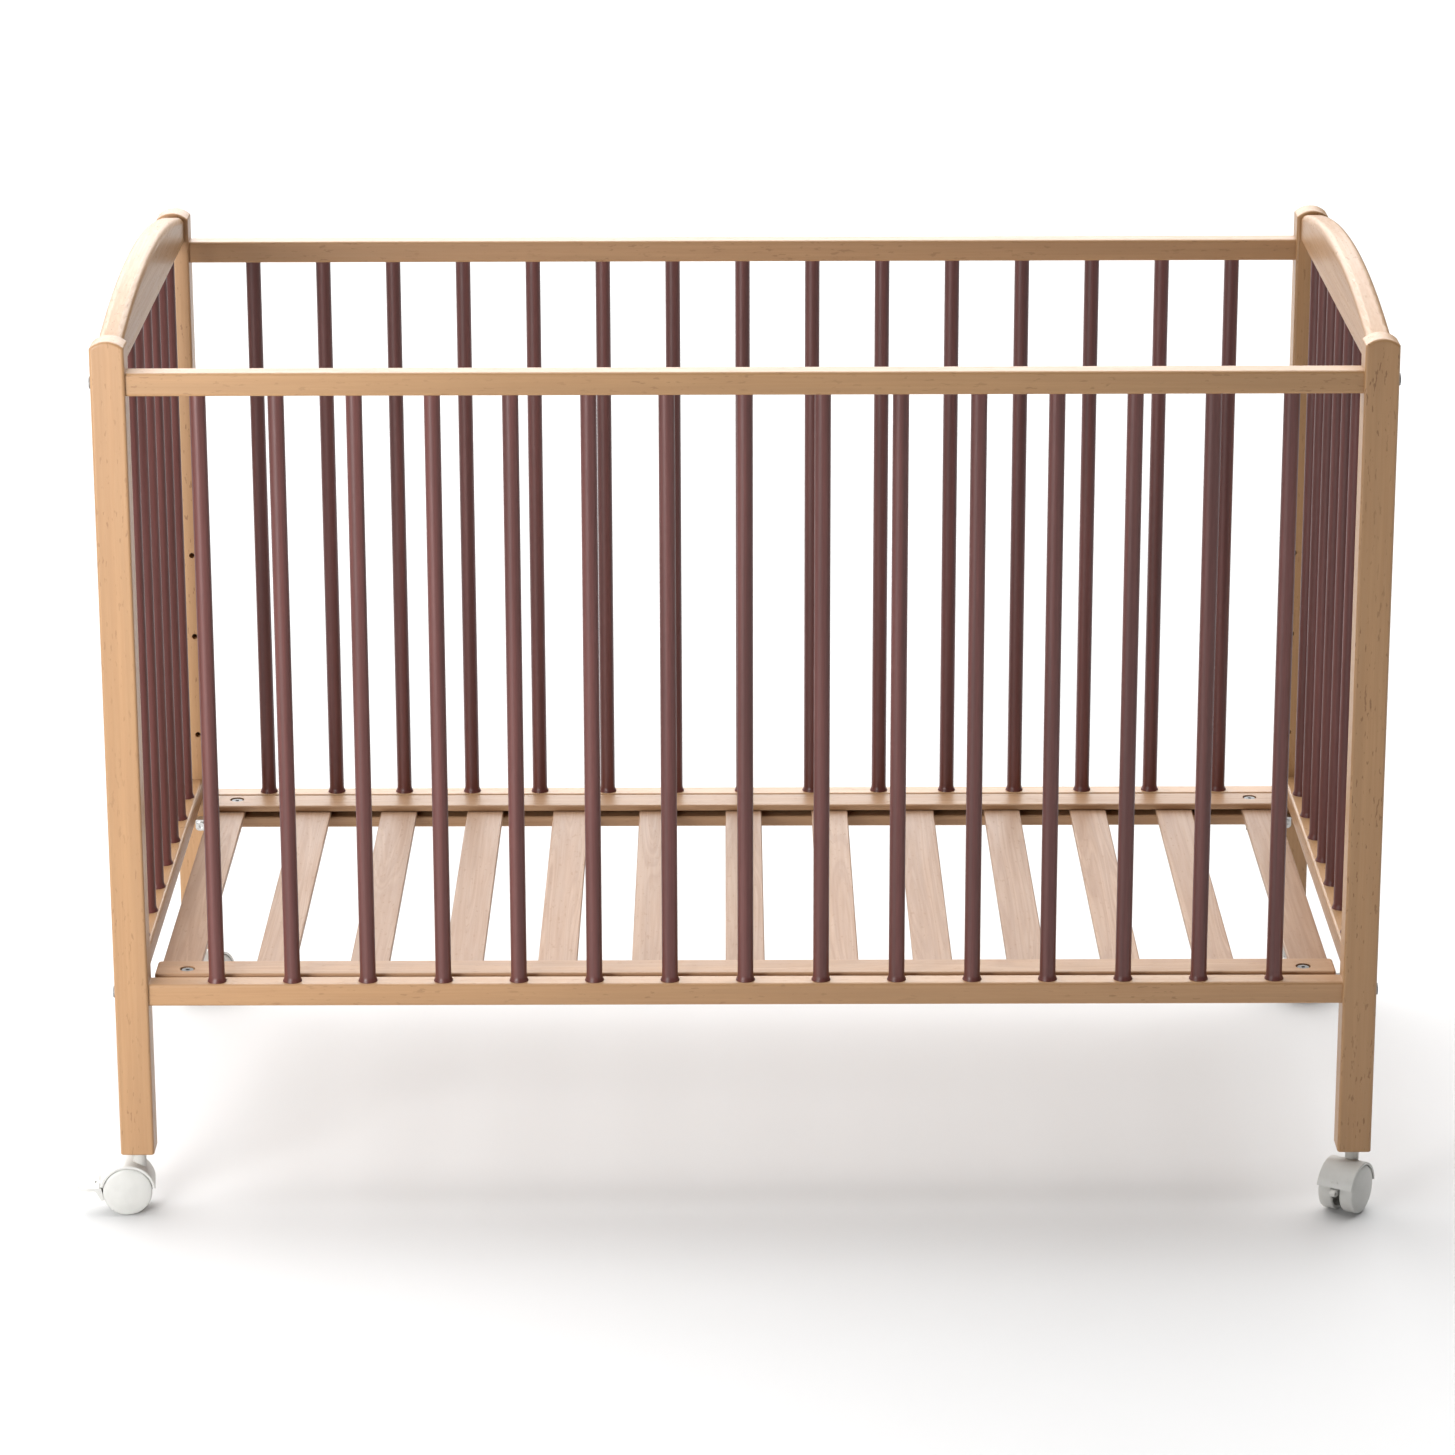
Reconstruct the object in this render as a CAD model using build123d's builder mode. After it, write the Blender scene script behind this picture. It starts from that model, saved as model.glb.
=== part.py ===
"""Baby crib for a 600 x 1200 mm mattress, in millimetres.

The frame's origin is on the floor under the middle of the crib: +X runs along the crib to its right end,
+Y to the rear side and +Z up.

Four posts stand on twin-wheel casters. Each end is two posts glued to a bottom rail and an arched top rail,
with a row of dowels between the rails. Each long side is two rails with their dowels, bolted between the
ends. The slatted base is held by four steel brackets, each screwed into one of the four heights drilled in
its post.
"""
import os
from math import cos, radians, sin, sqrt

from build123d import *

# ---- overall ----
inner_length = 1200.0  # clear length between the left and right posts
inner_width = 584.0  # clear width between the front and rear posts
post_crown = 908.0  # height of the posts' arched tops

# ---- posts ----
post_size = 34.0
post_edge_radius = 3.0
post_arch_rise = 7.0
post_foot_chamfer = 1.0

# ---- rails of the sides and ends ----
rail_thickness = 25.0
rail_height = 23.0
rail_edge_radius = 3.0
side_bottom_rail_low = 223.0  # height of the underside
side_top_rail_low = 852.5
end_bottom_rail_low = 243.0
end_top_rail_low = 875.0
end_top_rail_end_height = 28.5
end_top_rail_rise = 28.5
end_top_rail_upper_radius = 7.0
end_top_rail_lower_radius = 3.5
tenon_thickness = 12.0
tenon_length = 15.0
tenon_shoulder = 4.0  # from the rail's edge to its tenon

# ---- dowels ----
dowel_diameter = 16.0
side_dowel_count = 15
side_dowel_post_gap = 60.0  # clear space between a post and the dowel next to it
end_dowel_count = 7
end_dowel_post_gap = 56.0
spigot_diameter = 12.0
spigot_length = 12.0
spigot_gap = 0.5  # left at the bottom of each spigot's hole
collar_diameter = 20.4
collar_height = 3.0

# ---- base ----
base_end_gap = 3.0  # from the base's end to the plane of the posts' inner faces
base_rail_width = 40.0
base_rail_edge_radius = 2.5
base_rail_corner_radius = 4.0
upper_rail_thickness = 7.0
lower_rail_thickness = 12.0
slat_count = 13
slat_width = 40.0
slat_end_inset = 2.5  # from the rails' ends to the outer slats
slat_thickness = 6.0
slat_edge_radius = 1.5
base_bolt_end_inset = 32.0
base_bolt_side_inset = 16.0
recess_diameter = 15.5
recess_depth = 3.5

# ---- base heights ----
base_levels = [212.0, 318.0, 432.0, 525.0]  # centres of the post holes, the lowest one in use
level_hole_inset = 8.0  # from the post's inner face to the hole's centre
level_hole_depth = 24.0
level_hole_diameter = 6.0

# ---- brackets ----
bracket_thickness = 2.0
bracket_shelf_length = 44.0  # under the base, from the base's end inwards
bracket_shelf_width = 28.0
bracket_hole_below_base = 10.0
bracket_tab_width = 12.0  # of the tongue past the base's end, and of the tab that hangs from it
bracket_tab_below_hole = 6.0
bracket_corner_radius = 4.0

# ---- screws, bolts and nuts ----
bolt_diameter = 6.0
bolt_hole_diameter = 6.6
bolt_head_diameter = 12.0
bolt_head_height = 2.5
hex_key_width = 4.0
hex_key_depth = 2.0
panel_bolt_depth = 50.0  # reach into the side rail
panel_bolt_end_gap = 3.0
barrel_nut_diameter = 10.0
barrel_nut_length = 14.0
barrel_nut_inset = 40.0  # from the side rail's end
barrel_nut_hole_depth = 18.5
base_bolt_end = 11.0  # length standing out below the bracket's shelf
base_nut_width = 10.0
base_nut_height = 5.0
bracket_screw_length = 22.0  # reach into the post
bracket_screw_head_diameter = 9.0
bracket_screw_head_height = 3.0

# ---- casters ----
wheel_diameter = 50.0
wheel_inner_face = 4.5  # from the caster's middle plane
wheel_outer_face = 19.0
wheel_dome = 3.3
wheel_rim_thickness = 3.5
wheel_web_thickness = 3.0
wheel_edge_radius = 2.0
wheel_hub_diameter = 13.0
axle_diameter = 6.0
axle_length = 33.2
wheel_bore_clearance = 0.05  # radial, between a wheel and the axle
wheel_bore_depth = 17.0  # from the caster's middle plane
hub_gap = 0.1  # between a wheel's hub and the housing's hub
caster_trail = 13.0  # from the swivel axis to the axle
hood_gap = 0.8  # between the wheels and the hood
hood_thickness = 2.6
hood_half_width = 19.5
hood_edge_radius = 1.0
hood_front_angle = 174.0  # from the tail, round over the top
hood_tail_angle = 14.0
web_half_thickness = 3.0
housing_hub_diameter = 16.0
housing_hub_half_length = 3.5
neck_diameter = 14.0
neck_over_wheel = 14.0  # from the wheels' tops to the posts' lower ends
neck_gap = 0.2  # between the housing's neck and the socket's flange
stem_diameter = 8.0
stem_clearance = 0.05  # radial, between the stem and the housing
stem_bore_depth = 11.0
stem_end_gap = 0.3
stem_length_in_leg = 34.0
socket_wall = 1.5
socket_length = 36.0
socket_flange_thickness = 2.0

# ---- brake pedal ----
pedal_pivot_gap = 1.1  # from the hood's outer surface to the pivot
pedal_pivot_up = 2.0
pedal_hub_radius = 3.2
pedal_width = 36.0
pedal_plate_length = 21.0  # from the pivot to the tip
pedal_tip_radius = 11.0
pedal_plate_thickness = 3.2
pedal_shoe_length = 10.0  # below the pivot
pedal_shoe_thickness = 3.2
pedal_shoe_gap = 0.25  # between the shoes and the wheels with the brake on
pedal_side_gap = 0.3  # between the pedal and the housing's web
pedal_pin_diameter = 3.0
pedal_pin_clearance = 0.06
hood_mark_diameter = 1.6
hood_mark_spacing = 6.0
hood_mark_angle = 26.0
hood_mark_depth = 1.2

# ---- derived places ----
leg_bottom = wheel_diameter + neck_over_wheel
half_post = post_size / 2
post_x = inner_length / 2 + half_post
post_y = inner_width / 2 + half_post
side_dowel_pitch = (inner_length - 2 * side_dowel_post_gap - dowel_diameter) / (side_dowel_count - 1)
end_dowel_pitch = (inner_width - 2 * end_dowel_post_gap - dowel_diameter) / (end_dowel_count - 1)
side_dowel_xs = [(i - (side_dowel_count - 1) / 2) * side_dowel_pitch for i in range(side_dowel_count)]
end_dowel_ys = [(i - (end_dowel_count - 1) / 2) * end_dowel_pitch for i in range(end_dowel_count)]
side_bolt_heights = [side_bottom_rail_low + rail_height / 2, side_top_rail_low + rail_height / 2]
base_length = inner_length - 2 * base_end_gap
base_low = base_levels[0] + bracket_hole_below_base
slat_low = base_low + lower_rail_thickness
upper_rail_low = slat_low + slat_thickness
base_top = upper_rail_low + upper_rail_thickness
base_rail_y = inner_width / 2 - base_rail_width / 2
slat_pitch = (base_length - 2 * slat_end_inset - slat_width) / (slat_count - 1)
base_bolt_x = base_length / 2 - base_bolt_end_inset
base_bolt_y = inner_width / 2 - base_bolt_side_inset
level_hole_x = inner_length / 2 + level_hole_inset
wheel_radius = wheel_diameter / 2
hood_inner_radius = wheel_radius + hood_gap
hood_outer_radius = hood_inner_radius + hood_thickness
pedal_pivot_out = hood_outer_radius + pedal_pivot_gap
pedal_reach = pedal_pivot_out + pedal_plate_length
flange_low = leg_bottom - socket_flange_thickness
neck_top = flange_low - neck_gap
socket_radius = stem_diameter / 2 + socket_wall
corners = [(sx, sy) for sx in (-1, 1) for sy in (-1, 1)]
side_names = {-1: "front", 1: "rear"}
end_names = {-1: "left", 1: "right"}

# The way each caster trails, as an angle from +X, and whether it has a brake.
casters = {
    "front_left": (-1, -1, 186.0, True),
    "front_right": (1, -1, 238.0, False),
    "rear_right": (1, 1, 6.0, True),
    "rear_left": (-1, 1, 58.0, False),
}


def save(part, name):
    part.label = name
    export_step(part, f"parts/{name}.step")


def facing(point, direction):
    """A plane at a point of a face, with its normal along the way out of the face."""
    return Plane(origin=point, z_dir=direction)


def across(x, y, z):
    """An upright plane seen from the front: its x is X and its y is Z."""
    return Plane(origin=(x, y, z), x_dir=(1, 0, 0), z_dir=(0, -1, 0))


def from_right(x, y, z):
    """An upright plane seen from the right end: its x is Y and its y is Z."""
    return Plane(origin=(x, y, z), x_dir=(0, 1, 0), z_dir=(1, 0, 0))


def make_post(sx, sy):
    x, y = sx * post_x, sy * post_y
    inner_face = sy * inner_width / 2
    shoulder = post_crown - post_arch_rise
    with BuildPart() as post:
        with BuildSketch(across(x, y, 0)):
            with BuildLine():
                Polyline(
                    (-half_post, shoulder), (-half_post, leg_bottom),
                    (half_post, leg_bottom), (half_post, shoulder),
                )
                ThreePointArc((half_post, shoulder), (0, post_crown), (-half_post, shoulder))
            make_face()
        extrude(amount=half_post, both=True)
        foot = post.faces().sort_by(Axis.Z)[0].edges()
        soft_edges = [edge for edge in post.edges() if edge not in foot]
        fillet(soft_edges, post_edge_radius)
        chamfer(post.faces().sort_by(Axis.Z)[0].edges(), post_foot_chamfer)
        # mortises for the end rails
        for low, tenon_height in (
            (end_bottom_rail_low, rail_height - 2 * tenon_shoulder),
            (end_top_rail_low, end_top_rail_end_height - 2 * tenon_shoulder),
        ):
            middle = low + tenon_shoulder + tenon_height / 2
            with Locations((x, inner_face + sy * tenon_length / 2, middle)):
                Box(tenon_thickness, tenon_length, tenon_height, mode=Mode.SUBTRACT)
        # bolt holes for the side rails
        with Locations([facing((x + sx * half_post, y, z), (sx, 0, 0)) for z in side_bolt_heights]):
            Hole(bolt_hole_diameter / 2, depth=post_size)
        # one hole for each height of the base
        with Locations([facing((sx * level_hole_x, inner_face, z), (0, -sy, 0)) for z in base_levels]):
            Hole(level_hole_diameter / 2, depth=level_hole_depth)
        # hole for the caster's socket
        with Locations(facing((x, y, leg_bottom), (0, 0, -1))):
            Hole(socket_radius, depth=socket_length)
    save(post.part, f"post_{side_names[sy]}_{end_names[sx]}")


def make_side_rail(sy, low, opens_up, name):
    """A long rail: its dowel holes open upwards on a bottom rail and downwards on a top rail."""
    y = sy * post_y
    middle = low + rail_height / 2
    dowel_face = low + rail_height if opens_up else low
    dowel_way = (0, 0, 1) if opens_up else (0, 0, -1)
    with BuildPart() as rail:
        with BuildSketch(from_right(-inner_length / 2, y, middle)):
            RectangleRounded(rail_thickness, rail_height, rail_edge_radius)
        extrude(amount=inner_length)
        with Locations([facing((x, y, dowel_face), dowel_way) for x in side_dowel_xs]):
            Hole(spigot_diameter / 2, depth=spigot_length + spigot_gap)
        with Locations([facing((sx * inner_length / 2, y, middle), (sx, 0, 0)) for sx in (-1, 1)]):
            Hole(bolt_hole_diameter / 2, depth=panel_bolt_depth + panel_bolt_end_gap)
        nut_x = inner_length / 2 - barrel_nut_inset
        with Locations([facing((sx * nut_x, y, low), (0, 0, -1)) for sx in (-1, 1)]):
            Hole(barrel_nut_diameter / 2, depth=barrel_nut_hole_depth)
    save(rail.part, name)


def make_end_bottom_rail(sx):
    x = sx * post_x
    middle = end_bottom_rail_low + rail_height / 2
    with BuildPart() as rail:
        with BuildSketch(across(x, inner_width / 2, middle)):
            RectangleRounded(rail_thickness, rail_height, rail_edge_radius)
        extrude(amount=inner_width)
        with Locations((x, 0, middle)):
            Box(tenon_thickness, inner_width + 2 * tenon_length, rail_height - 2 * tenon_shoulder)
        with Locations([facing((x, y, end_bottom_rail_low + rail_height), (0, 0, 1)) for y in end_dowel_ys]):
            Hole(spigot_diameter / 2, depth=spigot_length + spigot_gap)
    save(rail.part, f"{end_names[sx]}_end_bottom_rail")


def make_end_top_rail(sx):
    x = sx * post_x
    low = end_top_rail_low
    end_top = low + end_top_rail_end_height
    half = inner_width / 2
    tenon_height = end_top_rail_end_height - 2 * tenon_shoulder
    with BuildPart() as rail:
        with BuildSketch(from_right(x, 0, 0)):
            with BuildLine():
                Polyline((half, end_top), (half, low), (-half, low), (-half, end_top))
                ThreePointArc((-half, end_top), (0, end_top + end_top_rail_rise), (half, end_top))
            make_face()
        extrude(amount=rail_thickness / 2, both=True)
        fillet(rail.edges().filter_by(GeomType.CIRCLE), end_top_rail_upper_radius)
        fillet(rail.edges().filter_by(Axis.Y).group_by(Axis.Z)[0], end_top_rail_lower_radius)
        with Locations((x, 0, low + tenon_shoulder + tenon_height / 2)):
            Box(tenon_thickness, inner_width + 2 * tenon_length, tenon_height)
        with Locations([facing((x, y, low), (0, 0, -1)) for y in end_dowel_ys]):
            Hole(spigot_diameter / 2, depth=spigot_length + spigot_gap)
    save(rail.part, f"{end_names[sx]}_end_top_rail")


def make_dowels(places, low, high, name):
    """A row of dowels between a bottom rail's top at low and a top rail's underside at high."""
    foot = (Align.CENTER, Align.CENTER, Align.MIN)
    with BuildPart() as dowels:
        with Locations([(x, y, low) for x, y in places]):
            Cylinder(dowel_diameter / 2, high - low, align=foot)
            Cone(collar_diameter / 2, dowel_diameter / 2, collar_height, align=foot)
        with Locations([(x, y, low - spigot_length) for x, y in places]):
            Cylinder(spigot_diameter / 2, high - low + 2 * spigot_length, align=foot)
    save(dowels.part, name)


def make_base_rail(sy, low, thickness, recessed, name):
    y = sy * base_rail_y
    with BuildPart() as rail:
        with BuildSketch(Plane.XY.offset(low)):
            with Locations((0, y)):
                RectangleRounded(base_length, base_rail_width, base_rail_corner_radius)
        extrude(amount=thickness)
        fillet(rail.faces().sort_by(Axis.Z)[-1].edges(), base_rail_edge_radius)
        fillet(rail.faces().sort_by(Axis.Z)[0].edges(), base_rail_edge_radius)
        with Locations([(sx * base_bolt_x, sy * base_bolt_y, low + thickness) for sx in (-1, 1)]):
            if recessed:
                CounterBoreHole(bolt_hole_diameter / 2, recess_diameter / 2, recess_depth, depth=thickness)
            else:
                Hole(bolt_hole_diameter / 2, depth=thickness)
    save(rail.part, name)


def make_slat(index):
    x = (index - (slat_count - 1) / 2) * slat_pitch
    bolted = index in (0, slat_count - 1)
    with BuildPart() as slat:
        with BuildSketch(across(x, inner_width / 2, slat_low + slat_thickness / 2)):
            RectangleRounded(slat_width, slat_thickness, slat_edge_radius)
        extrude(amount=inner_width)
        if bolted:
            bolt_x = base_bolt_x if x > 0 else -base_bolt_x
            with Locations([(bolt_x, sy * base_bolt_y, slat_low + slat_thickness) for sy in (-1, 1)]):
                Hole(bolt_hole_diameter / 2, depth=slat_thickness)
    save(slat.part, f"base_slat_{index + 1:02d}")


def make_brackets():
    """Steel brackets: a shelf bolted under the base, a tongue past its end and a tab screwed to the post."""
    half_tab = bracket_tab_width / 2
    shelf_x = base_length / 2 - bracket_shelf_length / 2
    shelf_y = inner_width / 2 - bracket_shelf_width / 2
    shelf_middle = base_low - bracket_thickness / 2
    tongue_start = base_length / 2 - bracket_tab_width
    tongue_end = level_hole_x + half_tab
    tongue_x = (tongue_start + tongue_end) / 2
    tongue_y = inner_width / 2 - half_tab
    tab_y = inner_width / 2 - bracket_thickness / 2
    tab_height = base_low - base_levels[0] + bracket_tab_below_hole
    with BuildPart() as brackets:
        with Locations([(sx * shelf_x, sy * shelf_y, shelf_middle) for sx, sy in corners]):
            Box(bracket_shelf_length, bracket_shelf_width, bracket_thickness)
        with Locations([(sx * tongue_x, sy * tongue_y, shelf_middle) for sx, sy in corners]):
            Box(tongue_end - tongue_start, bracket_tab_width, bracket_thickness)
        with Locations([(sx * level_hole_x, sy * tab_y, base_low - tab_height / 2) for sx, sy in corners]):
            Box(bracket_tab_width, bracket_thickness, tab_height)
        fillet(brackets.edges().filter_by(Axis.Y).group_by(Axis.Z)[0], bracket_corner_radius)
        with Locations([(sx * base_bolt_x, sy * base_bolt_y, base_low) for sx, sy in corners]):
            Hole(bolt_hole_diameter / 2, depth=bracket_thickness)
        screw_z = base_levels[0]
        screw_holes = [(sx * level_hole_x, sy * tab_y, screw_z) for sx, sy in corners]
        with Locations(screw_holes):
            Cylinder(level_hole_diameter / 2, bracket_thickness, rotation=(90, 0, 0), mode=Mode.SUBTRACT)
    save(brackets.part, "base_brackets")


def make_bolts(places, head_diameter, head_height, length, name):
    """Bolts with a flat round head standing on each place's plane and a shank going in behind it."""
    foot = (Align.CENTER, Align.CENTER, Align.MIN)
    tip = (Align.CENTER, Align.CENTER, Align.MAX)
    with BuildPart() as bolts:
        with Locations(places):
            Cylinder(head_diameter / 2, head_height, align=foot)
            Cylinder(bolt_diameter / 2, length, align=tip)
        with BuildSketch(*[place.offset(head_height) for place in places]):
            RegularPolygon(hex_key_width / 2, 6, major_radius=False)
        extrude(amount=-hex_key_depth, mode=Mode.SUBTRACT)
    save(bolts.part, name)


def make_fasteners():
    outer_face = inner_length / 2 + post_size
    panel_places = []
    for sx, sy in corners:
        panel_places += [facing((sx * outer_face, sy * post_y, z), (sx, 0, 0)) for z in side_bolt_heights]
    panel_bolt_length = post_size + panel_bolt_depth
    make_bolts(panel_places, bolt_head_diameter, bolt_head_height, panel_bolt_length, "panel_bolts")
    nut_x = inner_length / 2 - barrel_nut_inset
    with BuildPart() as barrel_nuts:
        with Locations([(sx * nut_x, sy * post_y, z) for sx, sy in corners for z in side_bolt_heights]):
            Cylinder(barrel_nut_diameter / 2, barrel_nut_length)
            Cylinder(bolt_diameter / 2, barrel_nut_diameter, rotation=(0, 90, 0), mode=Mode.SUBTRACT)
    save(barrel_nuts.part, "panel_barrel_nuts")

    seat = base_top - recess_depth
    shelf_low = base_low - bracket_thickness
    base_places = [facing((sx * base_bolt_x, sy * base_bolt_y, seat), (0, 0, 1)) for sx, sy in corners]
    base_bolt_length = seat - shelf_low + base_bolt_end
    make_bolts(base_places, bolt_head_diameter, bolt_head_height, base_bolt_length, "base_bolts")
    with BuildPart() as base_nuts:
        with BuildSketch(Plane.XY.offset(shelf_low)):
            with Locations([(sx * base_bolt_x, sy * base_bolt_y) for sx, sy in corners]):
                RegularPolygon(base_nut_width / 2, 6, major_radius=False)
                Circle(bolt_diameter / 2, mode=Mode.SUBTRACT)
        extrude(amount=-base_nut_height)
    save(base_nuts.part, "base_nuts")

    tab_face = inner_width / 2 - bracket_thickness
    screw_z = base_levels[0]
    screw_places = [facing((sx * level_hole_x, sy * tab_face, screw_z), (0, -sy, 0)) for sx, sy in corners]
    screw_length = bracket_thickness + bracket_screw_length
    head_diameter, head_height = bracket_screw_head_diameter, bracket_screw_head_height
    make_bolts(screw_places, head_diameter, head_height, screw_length, "bracket_screws")


def make_caster_fixings():
    """Plastic sockets pressed into the legs, and the steel stems that the casters swivel on."""
    posts = [(sx * post_x, sy * post_y) for sx, sy in corners]
    foot = (Align.CENTER, Align.CENTER, Align.MIN)
    stem_low = neck_top - stem_bore_depth + stem_end_gap
    stem_top = leg_bottom + stem_length_in_leg
    bore_depth = stem_top - flange_low
    with BuildPart() as sockets:
        with Locations([(x, y, flange_low) for x, y in posts]):
            Cylinder(neck_diameter / 2, socket_flange_thickness, align=foot)
            Cylinder(socket_radius, socket_length + socket_flange_thickness, align=foot)
            Cylinder(stem_diameter / 2, bore_depth, align=foot, mode=Mode.SUBTRACT)
    save(sockets.part, "caster_sockets")
    with BuildPart() as stems:
        with Locations([(x, y, stem_low) for x, y in posts]):
            Cylinder(stem_diameter / 2, stem_top - stem_low, align=foot)
        chamfer(stems.edges().filter_by(GeomType.CIRCLE), 1.0)
    save(stems.part, "caster_stems")


def caster_planes(sx, sy, heading):
    """Planes at the axle's middle: one along the tail and up, and one along the axle and up."""
    tail = Vector(cos(radians(heading)), sin(radians(heading)), 0)
    along_axle = Vector(-tail.Y, tail.X, 0)
    middle = Vector(sx * post_x, sy * post_y, wheel_radius) + tail * caster_trail
    side_plane = Plane(origin=middle, x_dir=tail, z_dir=-along_axle)
    axle_plane = Plane(origin=middle, x_dir=along_axle, z_dir=tail)
    return side_plane, axle_plane


def polar(radius, angle):
    return (radius * cos(radians(angle)), radius * sin(radians(angle)))


def make_housing(name, sx, sy, side_plane):
    """The hood over the wheels, the web between them and the neck that turns on the stem."""
    front_in = polar(hood_inner_radius, hood_front_angle)
    front_out = polar(hood_outer_radius, hood_front_angle)
    tail_in = polar(hood_inner_radius, hood_tail_angle)
    tail_out = polar(hood_outer_radius, hood_tail_angle)
    top_angle = (hood_front_angle + hood_tail_angle) / 2
    pivot = (pedal_pivot_out, pedal_pivot_up)
    mark_x, mark_y = polar(hood_outer_radius, hood_mark_angle)
    mark_way = (side_plane.x_dir * mark_x + Vector(0, 0, mark_y)).normalized()
    with BuildPart() as housing:
        # neck, cut away under the hood where the wheels turn
        with Locations((sx * post_x, sy * post_y, neck_top)):
            Cylinder(neck_diameter / 2, neck_top - wheel_radius, align=(Align.CENTER, Align.CENTER, Align.MAX))
        with BuildSketch(side_plane):
            Circle(hood_inner_radius)
        extrude(amount=neck_diameter, both=True, mode=Mode.SUBTRACT)
        # hood
        with BuildSketch(side_plane):
            with BuildLine():
                ThreePointArc(tail_out, polar(hood_outer_radius, top_angle), front_out)
                Line(front_out, front_in)
                ThreePointArc(front_in, polar(hood_inner_radius, top_angle), tail_in)
                Line(tail_in, tail_out)
            make_face()
        extrude(amount=hood_half_width, both=True)
        rims = housing.edges().filter_by(GeomType.CIRCLE)
        rims = rims.filter_by(lambda edge: abs(edge.radius - hood_outer_radius) < 0.01)
        fillet(rims, hood_edge_radius)
        # web between the wheels, with the lug that carries the pedal's pin
        with BuildSketch(side_plane):
            with BuildLine():
                ThreePointArc(tail_out, polar(hood_outer_radius, top_angle), front_out)
                Line(front_out, (0, 0))
                Line((0, 0), tail_out)
            make_face()
            with Locations((pedal_pivot_out / 2, pedal_pivot_up)):
                Rectangle(pedal_pivot_out, 2 * pedal_hub_radius)
            with Locations(pivot):
                Circle(pedal_hub_radius)
        extrude(amount=web_half_thickness, both=True)
        with BuildSketch(side_plane):
            Circle(housing_hub_diameter / 2)
        extrude(amount=housing_hub_half_length, both=True)
        # bores for the axle and the pedal's pin
        with BuildSketch(side_plane):
            Circle(axle_diameter / 2)
            with Locations(pivot):
                Circle(pedal_pin_diameter / 2 + pedal_pin_clearance)
        extrude(amount=housing_hub_half_length, both=True, mode=Mode.SUBTRACT)
        with Locations(facing((sx * post_x, sy * post_y, neck_top), (0, 0, 1))):
            Hole(stem_diameter / 2 + stem_clearance, depth=stem_bore_depth)
        # two small marks at the back of the hood
        for half in (-hood_mark_spacing / 2, hood_mark_spacing / 2):
            mark = side_plane.origin + mark_way * hood_outer_radius + side_plane.z_dir * half
            with Locations(facing(mark, mark_way)):
                Hole(hood_mark_diameter / 2, depth=hood_mark_depth)
    save(housing.part, f"caster_{name}_housing")


def make_wheel(name, axle_plane, way, side_name):
    """One cup-shaped wheel with a domed outer face, on the way side of the caster's middle plane."""
    rim_inner = wheel_radius - wheel_rim_thickness
    hub_start = housing_hub_half_length + hub_gap
    hub = wheel_hub_diameter / 2
    web_start = wheel_outer_face - wheel_web_thickness
    bore = axle_diameter / 2 + wheel_bore_clearance
    plane = Plane(origin=axle_plane.origin, x_dir=axle_plane.x_dir * way, z_dir=axle_plane.z_dir)
    with BuildPart() as wheel:
        with BuildSketch(plane):
            with BuildLine():
                Polyline(
                    (wheel_bore_depth, 0), (wheel_bore_depth, bore), (hub_start, bore), (hub_start, hub),
                    (web_start, hub), (web_start, rim_inner), (wheel_inner_face, rim_inner),
                    (wheel_inner_face, wheel_radius), (wheel_outer_face, wheel_radius),
                )
                dome_top = (wheel_outer_face + wheel_dome, 0)
                TangentArc(dome_top, (wheel_outer_face, wheel_radius), tangent=(0, 1))
                Line(dome_top, (wheel_bore_depth, 0))
            make_face()
        revolve(axis=Axis(plane.origin, plane.x_dir))
        rims = wheel.edges().filter_by(GeomType.CIRCLE)
        rims = rims.filter_by(lambda edge: abs(edge.radius - wheel_radius) < 0.01)
        fillet(rims, wheel_edge_radius)
    save(wheel.part, f"caster_{name}_wheel_{side_name}")


def make_axle(name, axle_plane):
    plane = Plane(origin=axle_plane.origin, z_dir=axle_plane.x_dir)
    with BuildPart() as axle:
        with BuildSketch(plane):
            Circle(axle_diameter / 2)
        extrude(amount=axle_length / 2, both=True)
        chamfer(axle.edges().filter_by(GeomType.CIRCLE), 0.5)
    save(axle.part, f"caster_{name}_axle")


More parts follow.
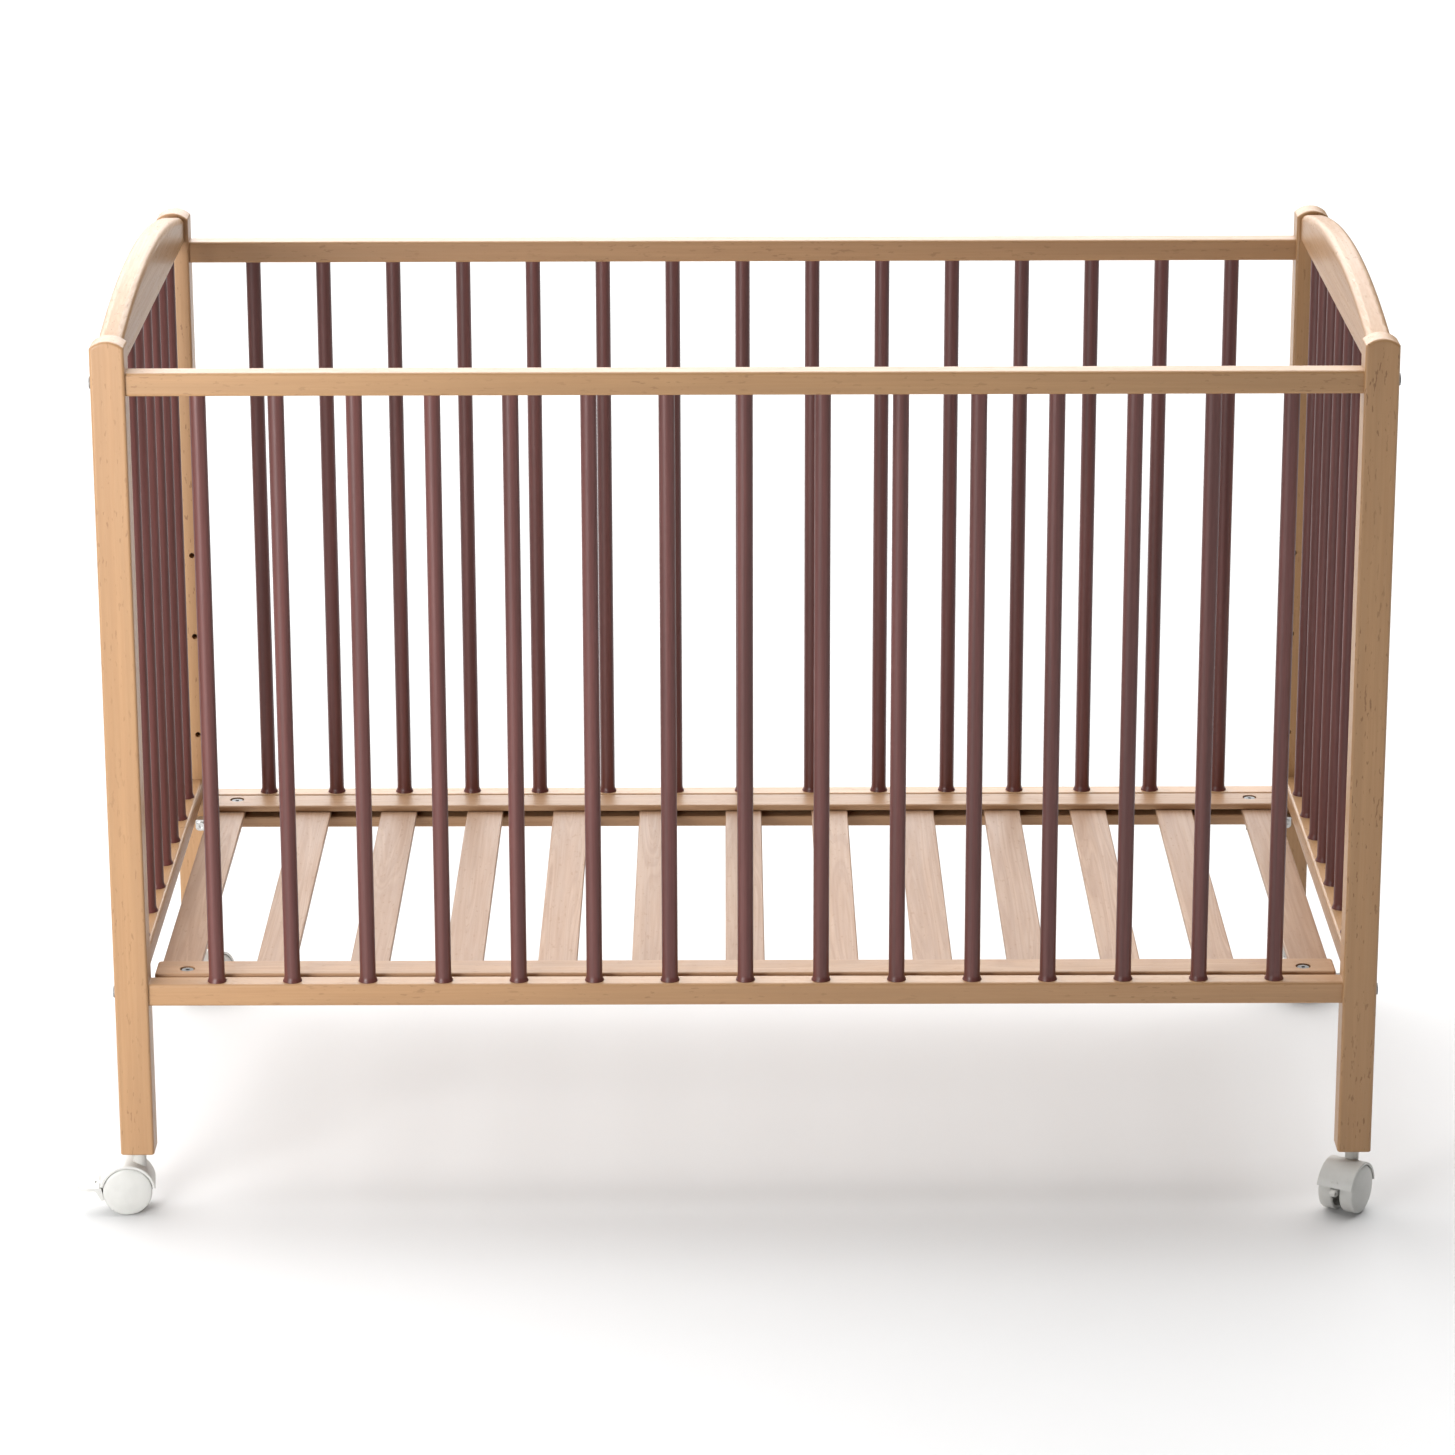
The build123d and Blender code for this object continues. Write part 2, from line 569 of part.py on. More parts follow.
def make_pedal(name, side_plane):
    """The brake pedal: a plate for the foot over two shoes that press on the wheels' treads."""
    top = pedal_pivot_up + pedal_hub_radius
    bottom = top - pedal_plate_thickness
    hub_near = pedal_pivot_out - pedal_hub_radius
    shoe_low = pedal_pivot_up - pedal_shoe_length
    shoe_near = sqrt((wheel_radius + pedal_shoe_gap) ** 2 - shoe_low**2)
    slot_end = pedal_pivot_out + pedal_hub_radius + pedal_side_gap
    slot_half = web_half_thickness + pedal_side_gap
    plate_middle = side_plane.origin + Vector(0, 0, top)
    plate_plane = Plane(origin=plate_middle, x_dir=side_plane.x_dir, z_dir=(0, 0, 1))
    outwards = Axis(side_plane.origin, side_plane.x_dir)
    with BuildPart() as pedal:
        # plate, rounded at the tip
        with BuildSketch(plate_plane):
            with Locations(((pedal_pivot_out + pedal_reach) / 2, 0)):
                Rectangle(pedal_reach - pedal_pivot_out, pedal_width)
        extrude(amount=-pedal_plate_thickness)
        fillet(pedal.edges().filter_by(Axis.Z).sort_by(outwards)[-2:], pedal_tip_radius)
        # hub and shoes
        with BuildSketch(side_plane):
            with Locations((pedal_pivot_out, pedal_pivot_up)):
                Circle(pedal_hub_radius)
            with BuildLine():
                Polyline(
                    (hub_near, pedal_pivot_up), (pedal_pivot_out + pedal_hub_radius, bottom),
                    (shoe_near + pedal_shoe_thickness, shoe_low - 1), (shoe_near, shoe_low), close=True,
                )
            make_face()
        extrude(amount=pedal_width / 2, both=True)
        # slot for the housing's web and lug, crossed by the pin
        with BuildSketch(side_plane):
            with Locations((slot_end - pedal_hub_radius * 2, pedal_pivot_up)):
                Rectangle(pedal_hub_radius * 4, pedal_shoe_length * 3)
        extrude(amount=slot_half, both=True, mode=Mode.SUBTRACT)
        with BuildSketch(side_plane):
            with Locations((pedal_pivot_out, pedal_pivot_up)):
                Circle(pedal_pin_diameter / 2)
        extrude(amount=pedal_width / 2, both=True)
    save(pedal.part, f"caster_{name}_brake_pedal")


def make_caster(name, sx, sy, heading, braked):
    side_plane, axle_plane = caster_planes(sx, sy, heading)
    make_housing(name, sx, sy, side_plane)
    make_axle(name, axle_plane)
    make_wheel(name, axle_plane, 1, "a")
    make_wheel(name, axle_plane, -1, "b")
    if braked:
        make_pedal(name, side_plane)


os.makedirs("parts", exist_ok=True)
for sx, sy in corners:
    make_post(sx, sy)
for sy in (-1, 1):
    side = side_names[sy]
    make_side_rail(sy, side_bottom_rail_low, True, f"{side}_side_bottom_rail")
    make_side_rail(sy, side_top_rail_low, False, f"{side}_side_top_rail")
    side_places = [(x, sy * post_y) for x in side_dowel_xs]
    bars_low = side_bottom_rail_low + rail_height
    make_dowels(side_places, bars_low, side_top_rail_low, f"{side}_side_dowels")
    make_base_rail(sy, upper_rail_low, upper_rail_thickness, True, f"base_upper_rail_{side}")
    make_base_rail(sy, base_low, lower_rail_thickness, False, f"base_lower_rail_{side}")
for sx in (-1, 1):
    make_end_bottom_rail(sx)
    make_end_top_rail(sx)
    end_places = [(sx * post_x, y) for y in end_dowel_ys]
    bars_low = end_bottom_rail_low + rail_height
    make_dowels(end_places, bars_low, end_top_rail_low, f"{end_names[sx]}_end_dowels")
for index in range(slat_count):
    make_slat(index)
make_brackets()
make_fasteners()
make_caster_fixings()
for name, (sx, sy, heading, braked) in casters.items():
    make_caster(name, sx, sy, heading, braked)
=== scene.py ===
"""Baby crib with arched ends, brown bars, a slatted base and twin-wheel casters: its pieces and finishes."""

from math import cos, radians, sin

import bpy
from bpy.props import FloatProperty, FloatVectorProperty, IntProperty, PointerProperty
from mathutils import Matrix, Vector


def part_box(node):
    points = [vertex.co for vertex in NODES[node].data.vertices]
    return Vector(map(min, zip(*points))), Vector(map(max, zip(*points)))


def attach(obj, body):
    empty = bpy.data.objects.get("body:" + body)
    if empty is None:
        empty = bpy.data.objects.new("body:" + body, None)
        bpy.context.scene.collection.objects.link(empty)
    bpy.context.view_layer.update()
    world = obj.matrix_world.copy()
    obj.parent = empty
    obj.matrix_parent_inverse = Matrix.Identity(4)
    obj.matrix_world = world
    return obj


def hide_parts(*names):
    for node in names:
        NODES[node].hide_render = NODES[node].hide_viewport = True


bl_info = {
    "name": "Baby crib",
    "version": (1, 0, 0),
    "blender": (4, 5, 0),
    "location": "View3D > Sidebar > Crib",
    "description": "Builds the bars, casters, screws and finishes of a wooden baby crib on its CAD frame",
    "category": "Object",
}

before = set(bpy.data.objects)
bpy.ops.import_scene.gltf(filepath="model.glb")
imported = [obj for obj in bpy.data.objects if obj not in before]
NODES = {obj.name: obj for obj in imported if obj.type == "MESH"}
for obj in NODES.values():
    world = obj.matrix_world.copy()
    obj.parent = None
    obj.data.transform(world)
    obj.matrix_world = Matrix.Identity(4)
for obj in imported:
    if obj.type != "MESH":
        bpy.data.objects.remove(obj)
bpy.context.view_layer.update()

CORNERS = {"front_left": (-1, -1), "front_right": (1, -1), "rear_right": (1, 1), "rear_left": (-1, 1)}
BAR_ROWS = ("front_side_dowels", "rear_side_dowels", "left_end_dowels", "right_end_dowels")

# Lengths in metres
FOOT_LIP = 0.0004  # how far the foot's lower edge is drawn in
WHEEL_BORE_RADIUS = 0.00305
WHEEL_BORE_END = 0.017
WHEEL_HUB_RADIUS = 0.0065
WHEEL_HUB_START = 0.0036
WHEEL_DISC = 0.003  # thickness behind the outer edge
WHEEL_RIM = 0.0035
WHEEL_EDGE = 0.0014  # rounding between tread and faces
FLOOR_GAP = 0.0005

CAMERA_PLACE = (-0.0175, -5.138, 2.012)
CAMERA_TILT = 17.26  # degrees below the level
CAMERA_ROLL = -0.14
CAMERA_LENS = 126.2


# ---------------------------------------------------------------- properties


class CribSizes(bpy.types.PropertyGroup):
    """Sizes of the pieces that are modelled here."""

    bar_radius: FloatProperty(name="Bar radius", description="Radius of the brown bars", default=0.008, unit="LENGTH")
    foot_radius: FloatProperty(
        name="Bar foot radius", description="Radius of the flare at each bar's foot", default=0.0101, unit="LENGTH"
    )
    foot_height: FloatProperty(
        name="Bar foot height", description="Height of the flare above the rail", default=0.006, unit="LENGTH"
    )
    spigot_radius: FloatProperty(
        name="Spigot radius", description="Radius of the bars' ends inside the rails", default=0.006, unit="LENGTH"
    )
    spigot_length: FloatProperty(
        name="Spigot length", description="How far the bars go into the rails", default=0.012, unit="LENGTH"
    )
    side_bars: IntProperty(name="Bars in a side", description="Bars between the rails of a long side", default=15)
    end_bars: IntProperty(name="Bars in an end", description="Bars between the rails of an end", default=7)
    bar_pitch: FloatProperty(name="Bar pitch", description="Spacing of the bars' centres", default=0.076, unit="LENGTH")
    wheel_radius: FloatProperty(name="Wheel radius", description="Radius of the wheels", default=0.025, unit="LENGTH")
    wheel_inner: FloatProperty(
        name="Wheel inner face", description="From the caster's middle plane to the rim", default=0.0045, unit="LENGTH"
    )
    wheel_outer: FloatProperty(
        name="Wheel outer face", description="From the middle plane to the outer edge", default=0.019, unit="LENGTH"
    )
    wheel_dome: FloatProperty(
        name="Wheel dome", description="How far the outer face bulges", default=0.0032, unit="LENGTH"
    )


class CribColours(bpy.types.PropertyGroup):
    """Colours of the finishes, as seen in even light."""

    beech: FloatVectorProperty(
        name="Beech", description="Varnished beech of the posts and rails", default=(0.44, 0.248, 0.113),
        size=3, subtype="COLOR", min=0, max=1,
    )
    slats: FloatVectorProperty(
        name="Slats", description="Pinkish beech of the base", default=(0.38, 0.236, 0.147),
        size=3, subtype="COLOR", min=0, max=1,
    )
    stain: FloatVectorProperty(
        name="Stain", description="Brown stain of the bars", default=(0.125, 0.038, 0.032),
        size=3, subtype="COLOR", min=0, max=1,
    )
    plastic: FloatVectorProperty(
        name="Plastic", description="White plastic of the casters", default=(0.63, 0.625, 0.595),
        size=3, subtype="COLOR", min=0, max=1,
    )
    steel: FloatVectorProperty(
        name="Steel", description="Zinc-plated steel of the screws and brackets", default=(0.56, 0.56, 0.55),
        size=3, subtype="COLOR", min=0, max=1,
    )


# ---------------------------------------------------------------- shader maths


class Wire:
    """A shader socket that Python's operators work on."""

    def __init__(self, shader, socket):
        self.shader = shader
        self.socket = socket

    def math(self, operation, *values):
        return self.shader.node("ShaderNodeMath", {"operation": operation}, dict(enumerate(values)))

    def __add__(self, other):
        return self.math("ADD", self, other)

    def __radd__(self, other):
        return self.math("ADD", other, self)

    def __sub__(self, other):
        return self.math("SUBTRACT", self, other)

    def __rsub__(self, other):
        return self.math("SUBTRACT", other, self)

    def __mul__(self, other):
        return self.math("MULTIPLY", self, other)

    def __rmul__(self, other):
        return self.math("MULTIPLY", other, self)

    def ramp(self, low, high):
        """0 below low, 1 above high and smooth between."""
        settings = {"interpolation_type": "SMOOTHSTEP"}
        return self.shader.node("ShaderNodeMapRange", settings, {"Value": self, "From Min": low, "From Max": high})


class Shader:
    """A material's node tree."""

    def __init__(self, name):
        self.material = bpy.data.materials.new(name)
        self.material.use_nodes = True
        self.tree = self.material.node_tree
        self.surface = self.tree.nodes["Principled BSDF"]

    def node(self, kind, settings=None, inputs=None, output=0):
        """Adds a node: its settings are set first, then its sockets' values or links."""
        node = self.tree.nodes.new(kind)
        for key, value in (settings or {}).items():
            setattr(node, key, value)
        for key, value in (inputs or {}).items():
            if isinstance(value, Wire):
                self.tree.links.new(value.socket, node.inputs[key])
            else:
                node.inputs[key].default_value = value
        return Wire(self, node.outputs[output])

    def place(self):
        """The point's place on the object."""
        return self.node("ShaderNodeTexCoord", output="Object")

    def stretched(self, scales, offset=0.0):
        """The place with each axis scaled, so that patterns stretch along the grain."""
        inputs = {"Vector": self.place(), "Location": (offset, offset * 0.7, offset * 1.3), "Scale": scales}
        return self.node("ShaderNodeMapping", None, inputs)

    def noise(self, vector, detail=3.0, roughness=0.5, scale=1.0):
        inputs = {"Vector": vector, "Scale": scale, "Detail": detail, "Roughness": roughness}
        return self.node("ShaderNodeTexNoise", None, inputs)

    def mix(self, factor, first, second, blend="MIX"):
        settings = {"data_type": "RGBA", "blend_type": blend}
        return self.node("ShaderNodeMix", settings, {0: factor, 6: first, 7: second}, output=2)

    def bump(self, height, distance, strength=1.0):
        return self.node("ShaderNodeBump", None, {"Height": height, "Distance": distance, "Strength": strength})

    def finish(self, **inputs):
        """Sets the surface's sockets: names with underscores for spaces."""
        for key, value in inputs.items():
            socket = self.surface.inputs[key.replace("_", " ")]
            if isinstance(value, Wire):
                self.tree.links.new(value.socket, socket)
            else:
                socket.default_value = value
        return self.material


def shade(colour, factor):
    return (min(colour[0] * factor, 1), min(colour[1] * factor, 1), min(colour[2] * factor, 1), 1)


def along_grain(along, across_scale, along_scale):
    """Scales for a pattern that runs along one axis."""
    return tuple(along_scale if axis == along else across_scale for axis in "XYZ")


def beech(name, colour, along, seed, flecks=0.5, varnish=0.18, figure=0.0):
    """Beech under a varnish: soft growth bands, fine pores along the grain and short dark flecks.

    The figure is how strongly wavy growth lines show on a broad sawn face."""
    wood = Shader(name)
    bands = wood.noise(wood.stretched(along_grain(along, 70, 2.2), seed), detail=4, roughness=0.55).ramp(0.3, 0.7)
    streaks = wood.noise(wood.stretched(along_grain(along, 420, 9), seed + 3), detail=3).ramp(0.35, 0.65)
    pores = wood.noise(wood.stretched(along_grain(along, 1500, 70), seed + 7), detail=2).ramp(0.3, 0.7)
    dashes = wood.noise(wood.stretched(along_grain(along, 330, 90), seed + 11), detail=2).ramp(0.63, 0.70)
    patches = wood.noise(wood.stretched(along_grain(along, 14, 5), seed + 17), detail=1).ramp(0.35, 0.65)
    tone = wood.mix(bands, shade(colour, 0.92), shade(colour, 1.05))
    tone = wood.mix(streaks * 0.35, tone, shade((colour[0], colour[1] * 0.93, colour[2] * 0.88), 0.86))
    dark = (colour[0] * 0.9, colour[1] * 0.78, colour[2] * 0.7)
    tone = wood.mix(dashes * (patches * 0.6 + 0.4) * flecks, tone, shade(dark, 0.6))
    tone = wood.mix(pores * 0.12, tone, shade(colour, 0.75))
    if figure:
        swirl = wood.noise(wood.stretched(along_grain(along, 30, 1.5), seed + 23), detail=1)
        lines = wood.noise(swirl * 9.0 + seed, detail=2, scale=2.0).ramp(0.38, 0.68)
        tone = wood.mix(lines * figure, tone, shade((colour[0], colour[1] * 0.84, colour[2] * 0.72), 0.68))
    relief = wood.bump(streaks * 0.4 + pores * 0.6 - dashes * 0.8, 0.00005, 0.6)
    gloss = 0.40 + streaks * 0.06 + dashes * 0.1
    sheen = 0.3 + varnish
    return wood.finish(
        Base_Color=tone, Roughness=gloss, Normal=relief, Coat_Weight=varnish, Coat_Roughness=0.25,
        Specular_IOR_Level=sheen,
    )


def stained(name, colour, seed):
    """Beech under a dark brown stain and a satin varnish."""
    wood = Shader(name)
    bands = wood.noise(wood.stretched((160, 160, 3), seed), detail=3).ramp(0.3, 0.7)
    pores = wood.noise(wood.stretched((1300, 1300, 45), seed + 5), detail=2).ramp(0.35, 0.65)
    tone = wood.mix(bands, shade(colour, 0.82), shade((colour[0] * 1.05, colour[1] * 1.1, colour[2] * 1.12), 1.2))
    tone = wood.mix(pores * 0.25, tone, shade(colour, 0.6))
    relief = wood.bump(pores, 0.00004, 0.5)
    return wood.finish(Base_Color=tone, Roughness=0.34 + pores * 0.1, Normal=relief, Specular_IOR_Level=0.5)


def plastic(name, colour):
    """Moulded white plastic with a fine matte skin."""
    skin = Shader(name)
    cloud = skin.noise(skin.stretched((90, 90, 90)), detail=3).ramp(0.3, 0.7)
    grain = skin.noise(skin.stretched((2600, 2600, 2600)), detail=1)
    tone = skin.mix(cloud, shade(colour, 0.975), shade(colour, 1.02))
    relief = skin.bump(grain, 0.00003, 0.35)
    return skin.finish(Base_Color=tone, Roughness=0.36 + cloud * 0.07, Normal=relief)


def steel(name, colour, roughness=0.28):
    """Zinc-plated steel, brushed and slightly cloudy."""
    metal = Shader(name)
    cloud = metal.noise(metal.stretched((240, 240, 240)), detail=3).ramp(0.3, 0.7)
    brush = metal.noise(metal.stretched((4000, 400, 4000)), detail=2)
    tone = metal.mix(cloud, shade(colour, 0.85), shade(colour, 1.12))
    relief = metal.bump(brush, 0.00002, 0.4)
    return metal.finish(Base_Color=tone, Roughness=roughness + cloud * 0.12, Metallic=1.0, Normal=relief)


def coat(piece, material):
    """Gives a piece one material in all its slots."""
    if not piece.material_slots:
        piece.data.materials.append(material)
    for slot in piece.material_slots:
        slot.material = material


# ---------------------------------------------------------------- modelling


def deselect():
    bpy.ops.object.select_all(action="DESELECT")


def pick(pieces):
    """Selects these pieces alone, the first of them active."""
    deselect()
    for piece in pieces:
        piece.select_set(True)
    bpy.context.view_layer.objects.active = pieces[0]


def turned(name, rings, sides):
    """A closed turned piece on the Z axis: rings are (height, radius), from one end's cap to the other's."""
    deselect()
    height, radius = rings[0]
    bpy.ops.mesh.primitive_circle_add(vertices=sides, radius=radius, fill_type="NGON", location=(0, 0, height))
    piece = bpy.context.active_object
    piece.name = name
    bpy.ops.object.mode_set(mode="EDIT")
    bpy.ops.mesh.select_all(action="SELECT")
    for next_height, next_radius in rings[1:]:
        bpy.ops.mesh.extrude_region_move(TRANSFORM_OT_translate={"value": (0, 0, next_height - height)})
        ratio = next_radius / radius
        bpy.ops.transform.resize(value=(ratio, ratio, 1), center_override=(0, 0, next_height))
        height, radius = next_height, next_radius
    bpy.ops.mesh.select_all(action="SELECT")
    bpy.ops.mesh.normals_make_consistent(inside=False)
    bpy.ops.object.mode_set(mode="OBJECT")
    settle(piece)
    return piece


def settle(piece):
    """Puts the piece's place into its mesh."""
    pick([piece])
    bpy.ops.object.transform_apply(location=True, rotation=True, scale=True)


def smooth(piece, angle=35):
    pick([piece])
    bpy.ops.object.shade_smooth_by_angle(angle=radians(angle))


def copied(piece, matrix, name):
    """A copy with its own mesh, moved by a matrix that ends up in the mesh."""
    copy = piece.copy()
    copy.data = piece.data.copy()
    copy.name = name
    bpy.context.scene.collection.objects.link(copy)
    copy.matrix_world = matrix
    settle(copy)
    return copy


def joined(pieces, name):
    pick(pieces)
    bpy.ops.object.join()
    piece = bpy.context.active_object
    piece.name = name
    piece.data.name = name
    return piece


def remove(piece):
    bpy.data.objects.remove(piece)


def fit(piece, body, slot, *nodes):
    """Hangs a finished piece on its body in place of CAD nodes."""
    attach(piece, body)
    if nodes:
        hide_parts(*nodes)


def middle(node):
    low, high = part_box(node)
    return (low + high) / 2


# ---------------------------------------------------------------- operators


class CRIB_OT_wood(bpy.types.Operator):
    """Finishes the posts and the rails of the sides and ends"""

    bl_idname = "crib.wood"
    bl_label = "Posts and rails"

    def execute(self, context):
        colour = context.scene.crib_colours.beech
        pieces = [(f"post_{corner}", "Z") for corner in CORNERS]
        pieces += [(f"{side}_side_{level}_rail", "X") for side in ("front", "rear") for level in ("bottom", "top")]
        pieces += [(f"{end}_end_{level}_rail", "Y") for end in ("left", "right") for level in ("bottom", "top")]
        for index, (node, along) in enumerate(pieces):
            tint = 1 + 0.03 * sin(index * 2.3)
            toned = (colour[0] * tint, colour[1] * tint, colour[2] * tint * (1 + 0.03 * cos(index * 1.7)))
            flecks = 0.95 if node in ("post_front_right", "post_rear_left") else 0.55
            coat(NODES[node], beech(f"beech_{node}", toned, along, seed=1.37 * index + 0.4, flecks=flecks))
        return {"FINISHED"}


class CRIB_OT_base(bpy.types.Operator):
    """Finishes the slats and rails of the base"""

    bl_idname = "crib.base"
    bl_label = "Base"

    def execute(self, context):
        colour = context.scene.crib_colours.slats
        slats = sorted(name for name in NODES if name.startswith("base_slat_"))
        for index, node in enumerate(slats):
            tint = 1 + 0.05 * sin(index * 1.9 + 0.6)
            toned = (colour[0] * tint, colour[1] * tint, colour[2] * tint)
            seed = 0.83 * index + 5.1
            coat(NODES[node], beech(f"wood_{node}", toned, "Y", seed, flecks=0.3, varnish=0.0, figure=0.5))
        wood = context.scene.crib_colours.beech
        colour = [(first + second) / 2 for first, second in zip(colour, wood)]
        rails = sorted(name for name in NODES if name.startswith(("base_upper", "base_lower")))
        for index, node in enumerate(rails):
            seed = 1.1 * index + 21.0
            coat(NODES[node], beech(f"wood_{node}", colour, "X", seed, flecks=0.35, varnish=0.05, figure=0.3))
        return {"FINISHED"}


class CRIB_OT_bars(bpy.types.Operator):
    """Models the brown bars with their flared feet"""

    bl_idname = "crib.bars"
    bl_label = "Bars"

    def execute(self, context):
        sizes = context.scene.crib_sizes
        colour = context.scene.crib_colours.stain
        for index, row in enumerate(BAR_ROWS):
            low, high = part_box(row)
            bottom, top = low.z + sizes.spigot_length, high.z - sizes.spigot_length
            spigot, bar, foot, rise = sizes.spigot_radius, sizes.bar_radius, sizes.foot_radius, sizes.foot_height
            flare = [(bottom + rise * t, bar + (foot - bar) * (1 - t) ** 2) for t in (0.12, 0.25, 0.4, 0.6, 0.8, 1.0)]
            rings = [(low.z, spigot), (bottom, spigot), (bottom, foot - FOOT_LIP), *flare]
            rings += [(top, bar), (top, spigot), (high.z, spigot)]
            one = turned("bar", rings, sides=36)
            smooth(one, 40)
            centre = middle(row)
            along_side = row.endswith("side_dowels")
            count = sizes.side_bars if along_side else sizes.end_bars
            copies = []
            for k in range(count):
                step = (k - (count - 1) / 2) * sizes.bar_pitch
                place = (step, centre.y, 0) if along_side else (centre.x, step, 0)
                copies.append(copied(one, Matrix.Translation(place), f"bar_{k}"))
            remove(one)
            bars = joined(copies, row.replace("dowels", "bars"))
            coat(bars, stained(f"stain_{row}", colour, seed=2.9 * index))
            fit(bars, "crib", "stained_wood", row)
        return {"FINISHED"}


class CRIB_OT_casters(bpy.types.Operator):
    """Models the wheels and finishes the casters"""

    bl_idname = "crib.casters"
    bl_label = "Casters"

    def execute(self, context):
        sizes = context.scene.crib_sizes
        white = plastic("white_plastic", context.scene.crib_colours.plastic)
        metal = steel("axle_steel", context.scene.crib_colours.steel)
        coat(NODES["caster_sockets"], white)
        coat(NODES["caster_stems"], metal)
        radius, inner, outer, dome = sizes.wheel_radius, sizes.wheel_inner, sizes.wheel_outer, sizes.wheel_dome
        rings = [
            (WHEEL_BORE_END, WHEEL_BORE_RADIUS), (WHEEL_HUB_START, WHEEL_BORE_RADIUS),
            (WHEEL_HUB_START, WHEEL_HUB_RADIUS), (outer - WHEEL_DISC, WHEEL_HUB_RADIUS),
            (outer - WHEEL_DISC, radius - WHEEL_RIM), (inner, radius - WHEEL_RIM), (inner, radius - 0.0016),
            (inner + 0.0004, radius - 0.0006), (inner + WHEEL_EDGE, radius), (outer - WHEEL_EDGE, radius),
            (outer - 0.0005, radius - 0.0005), (outer, radius - WHEEL_EDGE),
        ]
        for step in (0.9, 0.8, 0.68, 0.55, 0.4, 0.25, 0.1, 0.02):
            rings.append((outer + dome * (1 - step**2), (radius - WHEEL_EDGE) * step))
        one = turned("wheel", rings, sides=64)
        smooth(one, 38)
        for corner in CORNERS:
            body = f"{corner}_caster"
            coat(NODES[f"caster_{corner}_housing"], white)
            coat(NODES[f"caster_{corner}_axle"], metal)
            first, second = f"caster_{corner}_wheel_a", f"caster_{corner}_wheel_b"
            hub = middle(f"caster_{corner}_axle")
            for node, other, letter in ((first, second, "a"), (second, first, "b")):
                way = (middle(node) - middle(other)).normalized()
                matrix = Matrix.Translation(hub) @ way.to_track_quat("Z", "Y").to_matrix().to_4x4()
                wheel = copied(one, matrix, f"wheel_{corner}_{letter}")
                coat(wheel, white)
                fit(wheel, f"{corner}_wheel_{letter}", "white_plastic", node)
            pedal = NODES.get(f"caster_{corner}_brake_pedal")
            if pedal:
                coat(pedal, white)
        remove(one)
        return {"FINISHED"}


class CRIB_OT_screws(bpy.types.Operator):
    """Finishes the brackets, bolts, screws and nuts"""

    bl_idname = "crib.screws"
    bl_label = "Brackets and screws"

    def execute(self, context):
        metal = steel("zinc_steel", context.scene.crib_colours.steel)
        for node in ("base_brackets", "panel_barrel_nuts", "base_nuts", "bracket_screws"):
            coat(NODES[node], metal)
        dull = steel("dull_steel", shade(context.scene.crib_colours.steel, 0.42), roughness=0.5)
        for node in ("panel_bolts", "base_bolts"):
            coat(NODES[node], dull)
        return {"FINISHED"}


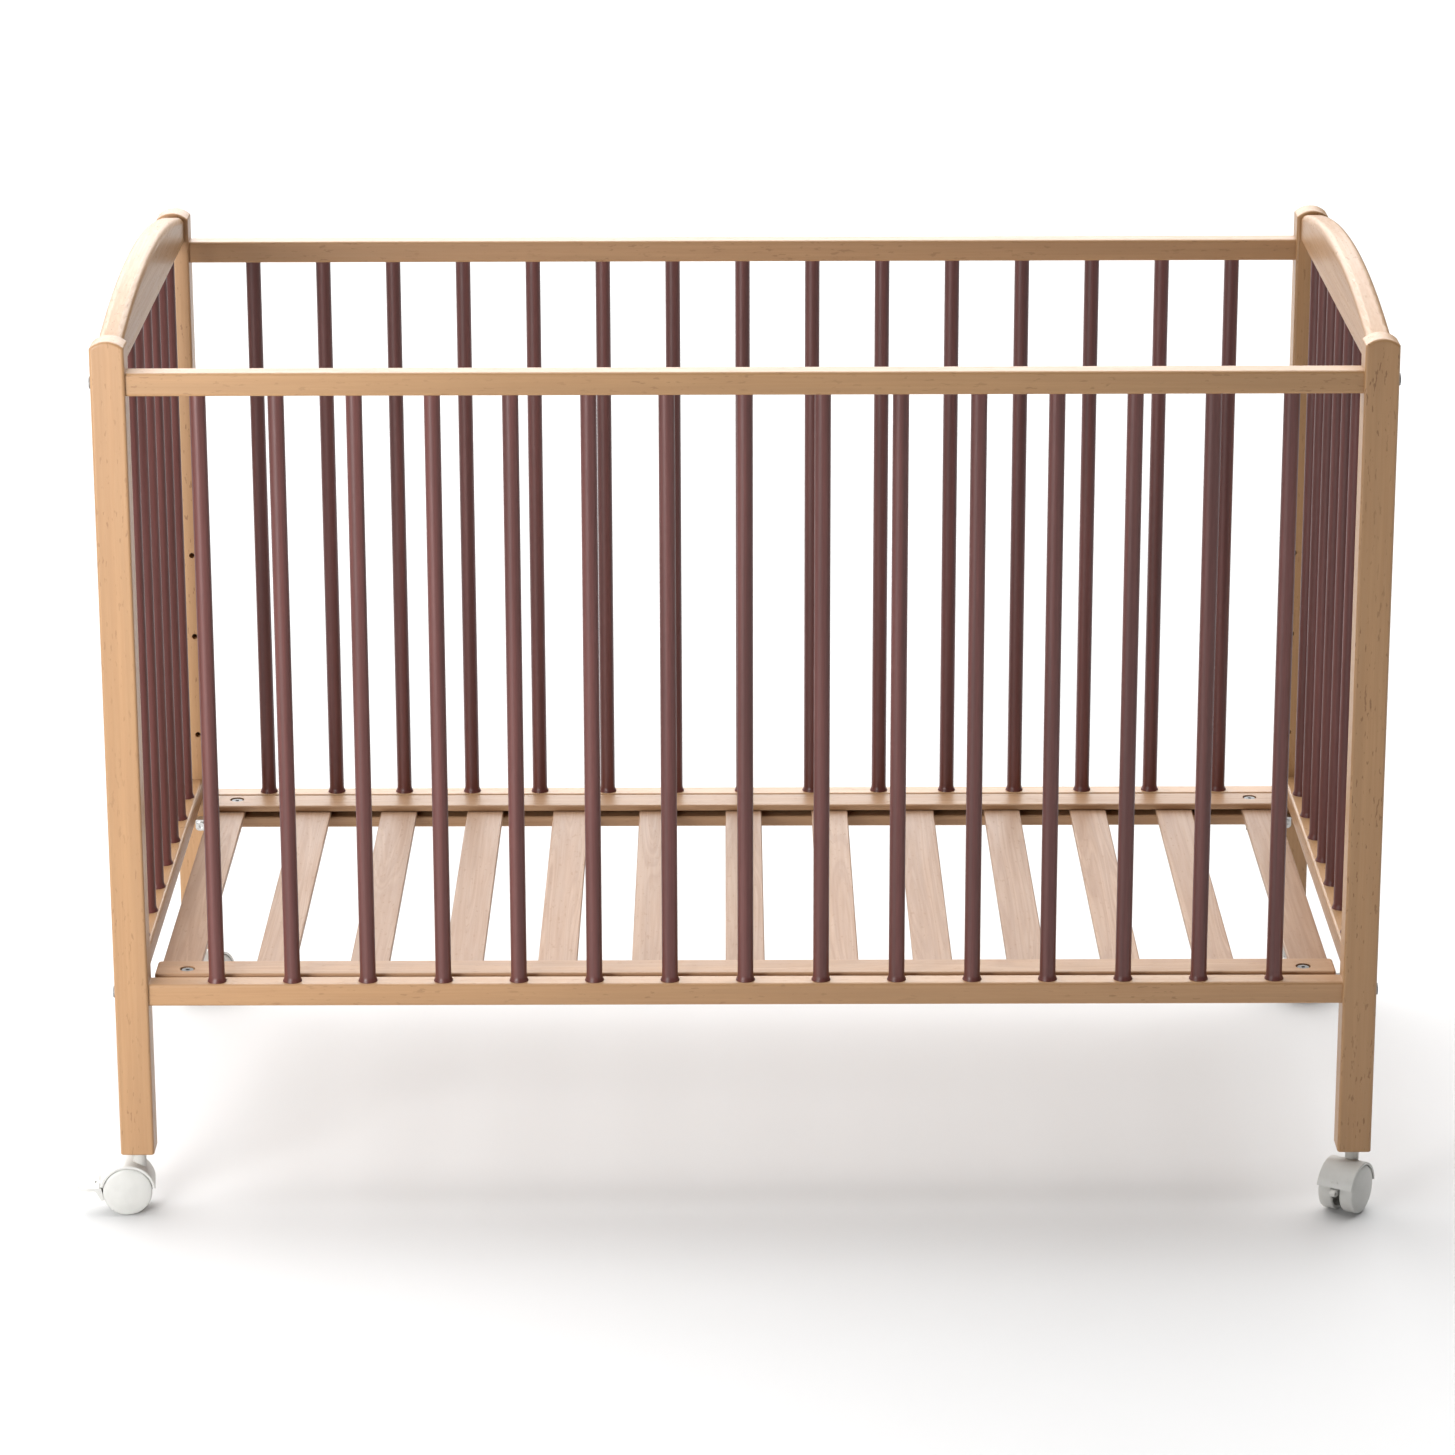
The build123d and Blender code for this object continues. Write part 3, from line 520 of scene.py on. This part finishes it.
class CRIB_OT_stage(bpy.types.Operator):
    """Sets up the floor, the studio light and the camera"""

    bl_idname = "crib.stage"
    bl_label = "Stage"

    def execute(self, context):
        scene = context.scene
        scene.view_settings.view_transform = "Standard"
        deselect()
        bpy.ops.mesh.primitive_plane_add(size=30, location=(0, 0, -FLOOR_GAP))
        floor = context.active_object
        floor.name = "studio_floor"
        paper = Shader("studio_paper")
        coat(floor, paper.finish(Base_Color=(0.70, 0.70, 0.70, 1), Roughness=0.9))
        self.light("side_light", (-1.6, -2.2, 1.0), (-1.08, -0.27, 0.6), 1.2, 19, spread=90)
        self.light("back_light", (-0.8, 4.2, 2.3), (0.1, 0, 0.7), 3.5, 30)
        bpy.ops.object.light_add(type="SUN", location=(-1.5, 1.2, 3))
        sky = context.active_object
        sky.name = "overhead_light"
        sky.data.energy = 5.8
        sky.data.angle = radians(100)
        sky.rotation_euler = Vector((0.25, -0.7, -1)).to_track_quat("-Z", "Y").to_euler()
        world = bpy.data.worlds.new("studio")
        world.use_nodes = True
        background = world.node_tree.nodes["Background"]
        background.inputs["Color"].default_value = (1, 1, 1, 1)
        background.inputs["Strength"].default_value = 0.03
        scene.world = world
        lens = bpy.data.cameras.new("studio_camera")
        lens.lens = CAMERA_LENS
        lens.sensor_width = 36
        lens.clip_end = 100
        camera = bpy.data.objects.new("studio_camera", lens)
        scene.collection.objects.link(camera)
        turn = Matrix.Rotation(radians(90 - CAMERA_TILT), 4, "X") @ Matrix.Rotation(radians(CAMERA_ROLL), 4, "Z")
        camera.matrix_world = Matrix.Translation(CAMERA_PLACE) @ turn
        scene.camera = camera
        return {"FINISHED"}

    def light(self, name, place, target, size, power, spread=180):
        """A square soft light that faces the target, its beam spread in degrees."""
        deselect()
        bpy.ops.object.light_add(type="AREA", location=place)
        light = bpy.context.active_object
        light.name = name
        light.data.size = size
        light.data.energy = power
        light.data.spread = radians(spread)
        light.visible_camera = False
        light.rotation_euler = (Vector(target) - Vector(place)).to_track_quat("-Z", "Y").to_euler()


class CRIB_PT_panel(bpy.types.Panel):
    """The crib's steps, in order"""

    bl_idname = "CRIB_PT_panel"
    bl_label = "Baby crib"
    bl_space_type = "VIEW_3D"
    bl_region_type = "UI"
    bl_category = "Crib"

    def draw(self, context):
        for group in (context.scene.crib_sizes, context.scene.crib_colours):
            for name in group.__annotations__:
                self.layout.prop(group, name)
        for operator in OPERATORS:
            self.layout.operator(operator.bl_idname)


OPERATORS = (CRIB_OT_wood, CRIB_OT_base, CRIB_OT_bars, CRIB_OT_casters, CRIB_OT_screws, CRIB_OT_stage)
CLASSES = (CribSizes, CribColours, *OPERATORS, CRIB_PT_panel)


def register():
    for item in CLASSES:
        bpy.utils.register_class(item)
    bpy.types.Scene.crib_sizes = PointerProperty(type=CribSizes)
    bpy.types.Scene.crib_colours = PointerProperty(type=CribColours)


def unregister():
    del bpy.types.Scene.crib_colours
    del bpy.types.Scene.crib_sizes
    for item in reversed(CLASSES):
        bpy.utils.unregister_class(item)


def main():
    register()
    bpy.ops.crib.wood()
    bpy.ops.crib.base()
    bpy.ops.crib.bars()
    bpy.ops.crib.casters()
    bpy.ops.crib.screws()
    bpy.ops.crib.stage()


if __name__ == "__main__":
    main()
